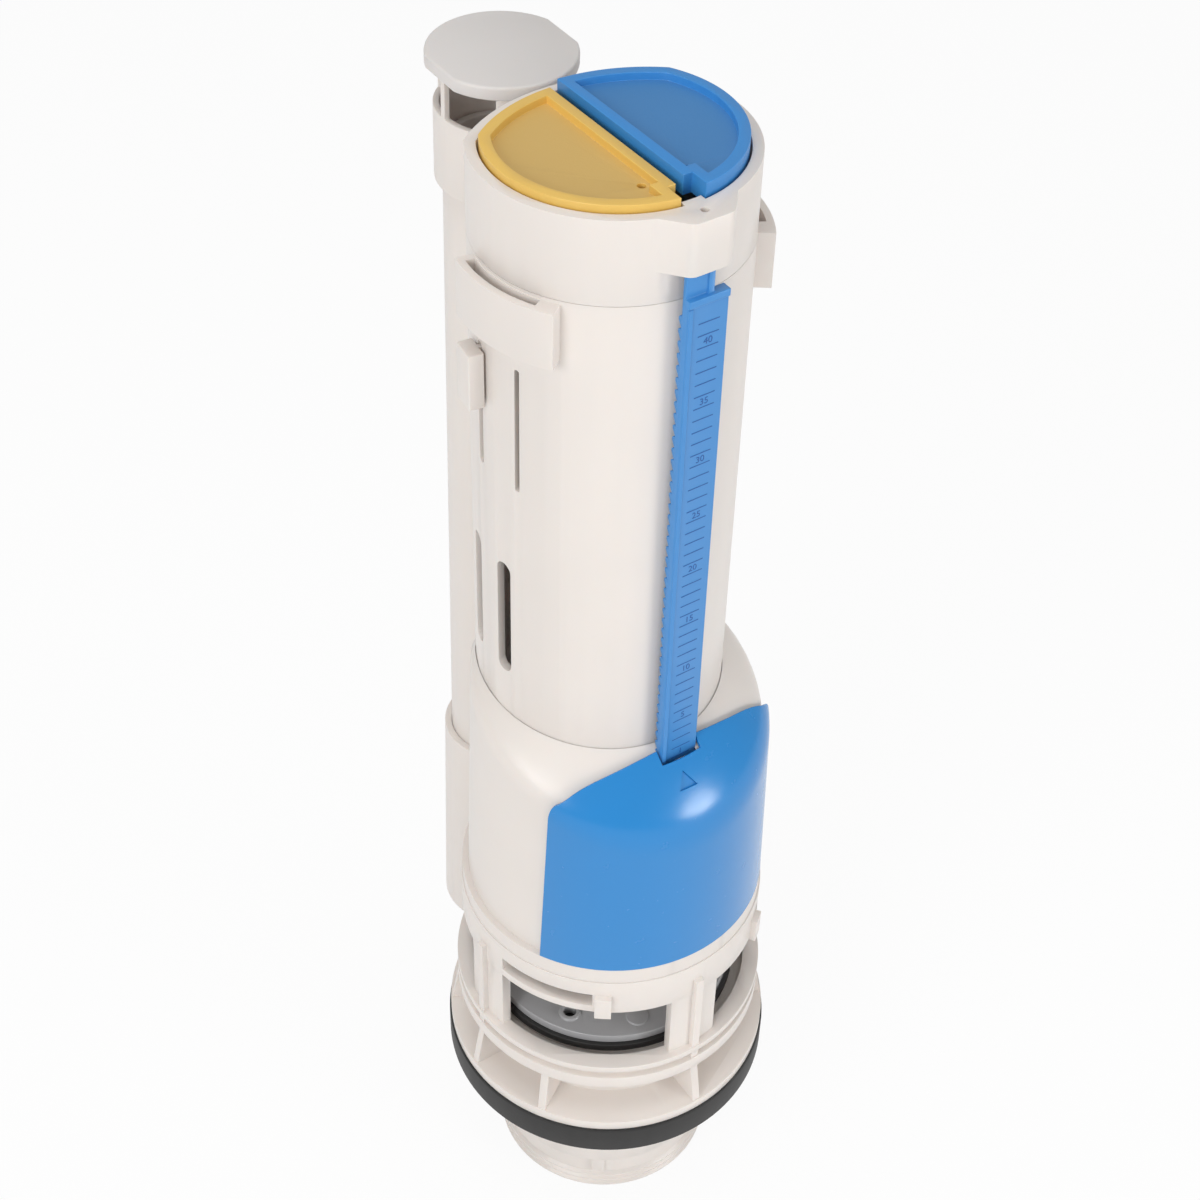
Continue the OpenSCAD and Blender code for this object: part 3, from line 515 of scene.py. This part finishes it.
cover_shape = bmesh.new()
right_half = [
    [cover_point(*patch_place(across, up)) for up in range(rows + 1)]
    for across in range(side_columns + 1)
]
left_half = [[Vector((-p.x, p.y, p.z)) for p in column] for column in reversed(right_half)]
below_notch = slot_edge_z[: notch_rows + 1]
middle = [
    [cover_point(slot_half * (2 * step / middle_columns - 1), z) for z in below_notch]
    for step in range(1, middle_columns)
]
cover_columns = left_half + middle + right_half
grid = [[cover_shape.verts.new(p) for p in column] for column in cover_columns]
for left, right in zip(grid, grid[1:]):
    for row in range(min(len(left), len(right)) - 1):
        cover_shape.faces.new((left[row], right[row], right[row + 1], left[row + 1]))
bmesh.ops.recalc_face_normals(cover_shape, faces=cover_shape.faces)
cover_mesh = bpy.data.meshes.new("blue_front_cover")
cover_shape.to_mesh(cover_mesh)
cover_shape.free()
gloss_blue = moulded(
    "gloss_blue_plastic", (0.012, 0.225, 0.58), 0.25, mottle=0.03, skin=0.05, glow=0.03
)
set_surface(gloss_blue, "Coat Weight", 0.25)
set_surface(gloss_blue, "Coat Roughness", 0.18)
cover = as_piece("blue_front_cover", cover_mesh, gloss_blue, "base", "blue_plastic", "front_cover")
thickness = cover.modifiers.new("thickness", "SOLIDIFY")
thickness.thickness = cover_t - cover_back_gap
thickness.offset = -1
round_edges(cover, 0.45 * mm)

arrow_depth = 0.6 * mm
arrow_clear = 1 * mm
arrow_x = -1.35 * mm
arrow_half = 2.45 * mm
arrow_tip_z = 130 * mm
arrow_foot_z = 126.6 * mm
arrow_tip = cover_point(arrow_x, arrow_tip_z)
arrow_left = cover_point(arrow_x - arrow_half, arrow_foot_z)
arrow_right = cover_point(arrow_x + arrow_half, arrow_foot_z)
arrow_face = (arrow_left - arrow_tip).cross(arrow_right - arrow_tip).normalized()
arrow_shape = bmesh.new()
arrow_top, arrow_floor = [
    [
        arrow_shape.verts.new(corner + arrow_face * height)
        for corner in (arrow_tip, arrow_left, arrow_right)
    ]
    for height in (arrow_clear, -arrow_depth)
]
arrow_shape.faces.new(arrow_top)
arrow_shape.faces.new(list(reversed(arrow_floor)))
for spot in range(3):
    after = (spot + 1) % 3
    arrow_shape.faces.new(
        (arrow_top[spot], arrow_floor[spot], arrow_floor[after], arrow_top[after])
    )
bmesh.ops.recalc_face_normals(arrow_shape, faces=arrow_shape.faces)
arrow_mesh = bpy.data.meshes.new("arrow_cutter")
arrow_shape.to_mesh(arrow_mesh)
arrow_shape.free()
arrow_cutter = bpy.data.objects.new("arrow_cutter", arrow_mesh)
bpy.context.scene.collection.objects.link(arrow_cutter)
arrow_cut = cover.modifiers.new("arrow", "BOOLEAN")
arrow_cut.operation = "DIFFERENCE"
arrow_cut.solver = "EXACT"
arrow_cut.object = arrow_cutter
settled(cover)
bpy.data.objects.remove(arrow_cutter)


# Overflow
# A white socket with an elbow at its foot, a plain pipe that leans towards the tube, a sleeve
# with windows that slides on the pipe, and a flat cap pressed into the top of the sleeve.

softened("overflow_socket", "overflow_elbow", 0.4 * mm, warm_white, "white_plastic")
softened("spigot_seal", "elbow_seal", 0.15 * mm, black_rubber, "rubber", 2)
softened("overflow_standpipe", "overflow_pipe", 0.3 * mm, warm_white, "white_plastic")
softened("overflow_window_sleeve", "overflow_sleeve", 0.3 * mm, warm_white, "white_plastic")
cap_white = moulded("cap_white_plastic", (0.70, 0.67, 0.65), 0.45, mottle=0.02, skin=0.2)
softened("overflow_flat_cap", "overflow_cap", 0.7 * mm, cap_white, "cap_plastic")


# Tube
# White tube with a round front and a flatter back, which slides in the lower body to set the
# height. The small block on its left sets the half flush, and its float hangs inside.

softened("sliding_tube", "main_tube", 0.3 * mm, warm_white, "white_plastic")
softened("half_flush_latch", "latch_slider", 0.35 * mm, warm_white, "white_plastic")
softened("half_flush_bucket", "half_float", 0.3 * mm, inner_white, "inner_plastic")


# Head and levers
# White collar pressed into the tube. A plate on its ledge carries two levers on steel pins, which
# turn a push on a button into a lift of the rods below.

steel = moulded("pin_steel", (0.56, 0.56, 0.57), 0.28, mottle=0.04, skin=0.05, glow=0.0)
set_surface(steel, "Metallic", 1.0)
lever_grey = moulded("lever_grey_plastic", (0.30, 0.30, 0.31), 0.4, glow=0.0)
softened("button_collar", "head_ring", 0.45 * mm, warm_white, "white_plastic")
softened("lever_plate", "lever_carrier", 0.2 * mm, inner_white, "inner_plastic", 2)
softened("pivot_pins", "lever_pins", 0.25 * mm, steel, "steel", 2)
softened("half_flush_lever", "half_lever", 0.25 * mm, lever_grey, "grey_plastic", 2)
softened("full_flush_lever", "full_lever", 0.25 * mm, lever_grey, "grey_plastic", 2)
softened("lifting_rod", "lift_rod", 0.25 * mm, inner_white, "inner_plastic", 2)
softened("half_flush_rod", "half_trip_rod", 0.2 * mm, inner_white, "inner_plastic", 2)


# Scale strip
# Blue moulded strip hung in the lug of the collar, with ratchet teeth down the left of its back. Its
# face carries fine moulded lines, three millimetres apart, with small figures between them. Their
# dark blue is painted shade, standing in for the shade in the moulded marks.

strip_blue = moulded(
    "strip_blue_plastic", (0.052, 0.26, 0.62), 0.36, mottle=0.03, skin=0.1, glow=0.03
)
# The dark blue of the scale lines and figures is painted shade of the moulded marks.
painted_mark_shade_blue = moulded("scale_mark_painted_shade_blue", (0.012, 0.09, 0.33), 0.4, mottle=0.05, skin=0.1, glow=0.0)
softened("toothed_strip", "scale_strip", 0.2 * mm, strip_blue, "strip_plastic", 2)

strip_low, strip_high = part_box("scale_strip")
face_y = strip_low.y + strip_stop
line_pitch = 3.02 * mm
first_line = 131.26 * mm
line_count = 42
line_w = 5.2 * mm
line_h = 0.22 * mm
line_relief = 0.08 * mm
line_x = 0.4 * mm
figure_size = 2.3 * mm
figure_relief = 0.04 * mm
figure_rise = 0.7 * mm
figure_step = 5
last_figure = 40
rail_w = 1.1 * mm
rail_sunk = 0.2 * mm
rail_inset = 0.1 * mm
rail_foot = 0.4 * mm
rail_below_top = 14.6 * mm
rail_high = strip_high.z - rail_below_top

rail_size = Vector((rail_w, rail_relief + rail_sunk, rail_high - strip_low.z - rail_foot))
rail_corner = Vector((strip_low.x + rail_inset, face_y - rail_relief, strip_low.z + rail_foot))
rail_place = rail_corner + rail_size / 2
rail_shape = bmesh.new()
bmesh.ops.create_cube(
    rail_shape, size=1, matrix=Matrix.Translation(rail_place) @ Matrix.Diagonal(rail_size).to_4x4()
)
rail_mesh = bpy.data.meshes.new("strip_edge_rail")
rail_shape.to_mesh(rail_mesh)
rail_shape.free()
round_edges(
    as_piece("strip_edge_rail", rail_mesh, strip_blue, "upper", "strip_plastic"), 0.12 * mm, 2
)

lines_tree = bpy.data.node_groups.new("scale_lines", "GeometryNodeTree")
for socket, kind in (
    ("Lines", "NodeSocketInt"),
    ("Pitch", "NodeSocketFloat"),
    ("Size", "NodeSocketVector"),
    ("First", "NodeSocketVector"),
    ("Finish", "NodeSocketMaterial"),
):
    lines_tree.interface.new_socket(socket, in_out="INPUT", socket_type=kind)
lines_tree.interface.new_socket("Geometry", in_out="OUTPUT", socket_type="NodeSocketGeometry")
entry = lines_tree.nodes.new("NodeGroupInput")
result = lines_tree.nodes.new("NodeGroupOutput")
step_up = lines_tree.nodes.new("ShaderNodeCombineXYZ")
ladder = lines_tree.nodes.new("GeometryNodeMeshLine")
mark = lines_tree.nodes.new("GeometryNodeMeshCube")
copies = lines_tree.nodes.new("GeometryNodeInstanceOnPoints")
real = lines_tree.nodes.new("GeometryNodeRealizeInstances")
finish = lines_tree.nodes.new("GeometryNodeSetMaterial")
join = lines_tree.links.new
join(entry.outputs["Pitch"], step_up.inputs["Z"])
join(entry.outputs["Lines"], ladder.inputs["Count"])
join(entry.outputs["First"], ladder.inputs["Start Location"])
join(step_up.outputs["Vector"], ladder.inputs["Offset"])
join(entry.outputs["Size"], mark.inputs["Size"])
join(ladder.outputs["Mesh"], copies.inputs["Points"])
join(mark.outputs["Mesh"], copies.inputs["Instance"])
join(copies.outputs["Instances"], real.inputs["Geometry"])
join(real.outputs["Geometry"], finish.inputs["Geometry"])
join(entry.outputs["Finish"], finish.inputs["Material"])
join(finish.outputs["Geometry"], result.inputs["Geometry"])

scale_lines = bpy.data.objects.new("scale_lines", bpy.data.meshes.new("scale_lines"))
bpy.context.scene.collection.objects.link(scale_lines)
rule = scale_lines.modifiers.new("scale_lines", "NODES")
rule.node_group = lines_tree
identifiers = {
    item.name: item.identifier
    for item in lines_tree.interface.items_tree
    if item.in_out == "INPUT"
}
rule[identifiers["Lines"]] = line_count
rule[identifiers["Pitch"]] = line_pitch
rule[identifiers["Size"]] = (line_w, line_relief, line_h)
rule[identifiers["First"]] = (line_x, face_y, first_line)
# The lines take the dark blue of painted shade.
rule[identifiers["Finish"]] = painted_mark_shade_blue
settled(scale_lines)
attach(scale_lines, "upper")

figures = bmesh.new()
for number in [1] + list(range(figure_step, last_figure + 1, figure_step)):
    lettering = bpy.data.curves.new("figure", "FONT")
    lettering.body = str(number)
    lettering.size = figure_size
    lettering.extrude = figure_relief
    lettering.align_x = "CENTER"
    holder = bpy.data.objects.new("figure", lettering)
    bpy.context.scene.collection.objects.link(holder)
    bpy.context.view_layer.update()
    finished = holder.evaluated_get(bpy.context.evaluated_depsgraph_get())
    flat = bpy.data.meshes.new_from_object(finished)
    bpy.data.objects.remove(holder)
    figure_z = first_line + (number - 1) * line_pitch + figure_rise
    stand = Matrix.Translation((line_x, face_y, figure_z))
    flat.transform(stand @ Matrix.Rotation(math.pi / 2, 4, "X"))
    figures.from_mesh(flat)
figure_mesh = bpy.data.meshes.new("scale_figures")
figures.to_mesh(figure_mesh)
figures.free()
# The figures take the dark blue of painted shade.
as_piece("scale_figures", figure_mesh, painted_mark_shade_blue, "upper", "strip_plastic")


# Buttons
# Two halves of a split push button, yellow for the half flush and blue for the full flush.
# Each is dished inside a raised rim, and the floor of the dish has a fine grained texture.

dish_shallow = 1 * mm
dish_deep = 2.2 * mm
least_upward = 0.9


def grained_dish(piece, dish):
    """Gives the floor of the dish its own grained finish."""
    piece.data.materials.append(dish)
    top = max(vertex.co.z for vertex in piece.data.vertices)
    for face in piece.data.polygons:
        depth = top - face.center.z
        if face.normal.z > least_upward and dish_shallow < depth < dish_deep:
            face.material_index = 1


yellow = moulded("yellow_plastic", (0.80, 0.52, 0.125), 0.36, mottle=0.02, glow=0.06)
yellow_grain = moulded(
    "yellow_grained_plastic", (0.66, 0.44, 0.14), 0.5, mottle=0.03, skin=0.6, glow=0.04
)
button_blue = moulded("button_blue_plastic", (0.045, 0.26, 0.64), 0.34, mottle=0.02, glow=0.03)
blue_grain = moulded(
    "blue_grained_plastic", (0.058, 0.223, 0.50), 0.5, mottle=0.04, skin=0.6, glow=0.02
)
half_button = softened("half_flush_button", "half_button", 0.5 * mm, yellow, "yellow_plastic")
grained_dish(half_button, yellow_grain)
full_button = softened("full_flush_button", "full_button", 0.5 * mm, button_blue, "button_blue")
grained_dish(full_button, blue_grain)


# Studio
# A pale floor under the shank, white all round, and soft boxes to the front right, left and above.

floor_size = 4
floor_drop = 0.5 * mm
floor_z = cad_box[0].z - floor_drop
seen_white = 0.92
floor_mesh = bpy.data.meshes.new("studio_floor")
floor_mesh.from_pydata(
    [(x * floor_size, y * floor_size, floor_z) for x, y in ((-1, -1), (1, -1), (1, 1), (-1, 1))],
    [],
    [(0, 1, 2, 3)],
)
floor = bpy.data.objects.new("studio_floor", floor_mesh)
bpy.context.scene.collection.objects.link(floor)
paper = bpy.data.materials.new("white_paper")
paper.use_nodes = True
paper_nodes = paper.node_tree.nodes
paper_link = paper.node_tree.links.new
set_surface(paper, "Base Color", (0.9, 0.9, 0.9, 1))
set_surface(paper, "Roughness", 0.8)
white_light = paper_nodes.new("ShaderNodeEmission")
seen = paper_nodes.new("ShaderNodeLightPath")
seen_sum = paper_nodes.new("ShaderNodeMath")
seen_sum.operation = "ADD"
seen_sum.use_clamp = True
seen_share = paper_nodes.new("ShaderNodeMath")
seen_share.operation = "MULTIPLY"
seen_share.inputs[1].default_value = seen_white
blend = paper_nodes.new("ShaderNodeMixShader")
paper_link(seen.outputs["Is Camera Ray"], seen_sum.inputs[0])
paper_link(seen.outputs["Is Glossy Ray"], seen_sum.inputs[1])
paper_link(seen_sum.outputs["Value"], seen_share.inputs[0])
paper_link(seen_share.outputs["Value"], blend.inputs["Fac"])
paper_link(paper_nodes["Principled BSDF"].outputs["BSDF"], blend.inputs[1])
paper_link(white_light.outputs["Emission"], blend.inputs[2])
paper_link(blend.outputs["Shader"], paper_nodes["Material Output"].inputs["Surface"])
floor_mesh.materials.append(paper)

world = bpy.data.worlds.new("white_room")
bpy.context.scene.world = world
world.use_nodes = True
room_nodes = world.node_tree.nodes
room_link = world.node_tree.links.new
room = room_nodes["Background"]
room.inputs["Color"].default_value = (1, 1, 1, 1)
backdrop = room_nodes.new("ShaderNodeBackground")
backdrop.inputs["Strength"].default_value = 1.0
room.inputs["Strength"].default_value = 0.45
ray = room_nodes.new("ShaderNodeLightPath")
room_mix = room_nodes.new("ShaderNodeMixShader")
room_link(ray.outputs["Is Camera Ray"], room_mix.inputs["Fac"])
room_link(room.outputs["Background"], room_mix.inputs[1])
room_link(backdrop.outputs["Background"], room_mix.inputs[2])
room_link(room_mix.outputs["Shader"], room_nodes["World Output"].inputs["Surface"])

target = Vector((0, 0, 0.15))
for name, direction, distance, size, power in (
    ("key_box", (0.41, -0.90, 0.11), 1.1, 0.38, 3.6),
    ("left_box", (-0.85, -0.35, 0.45), 1.3, 0.8, 7.0),
    ("top_box", (-0.1, -0.1, 1.0), 1.4, 0.9, 5.5),
):
    lamp = bpy.data.lights.new(name, "AREA")
    lamp.shape = "DISK"
    lamp.size = size
    lamp.energy = power
    holder = bpy.data.objects.new(name, lamp)
    holder.location = target + Vector(direction).normalized() * distance
    holder.rotation_mode = "QUATERNION"
    holder.rotation_quaternion = (target - holder.location).to_track_quat("-Z", "Y")
    bpy.context.scene.collection.objects.link(holder)


# Camera
# Stands above and to the left of the valve, as the photograph was taken.

camera_place = Vector((-0.216157, -0.297047, 0.495277))
camera_right = Vector((0.82742, -0.56117, 0.02158))
camera_up = Vector((0.36457, 0.56597, 0.73943))
camera_back = camera_right.cross(camera_up)
camera = bpy.data.objects.new("camera", bpy.data.cameras.new("camera"))
camera.data.sensor_width = 36
camera.data.lens = 63.6
camera.data.clip_start = 0.01
camera.matrix_world = Matrix.Translation(camera_place) @ Matrix(
    (camera_right, camera_up, camera_back)
).transposed().to_4x4()
bpy.context.scene.collection.objects.link(camera)
bpy.context.scene.camera = camera
bpy.context.scene.view_settings.view_transform = "Standard"
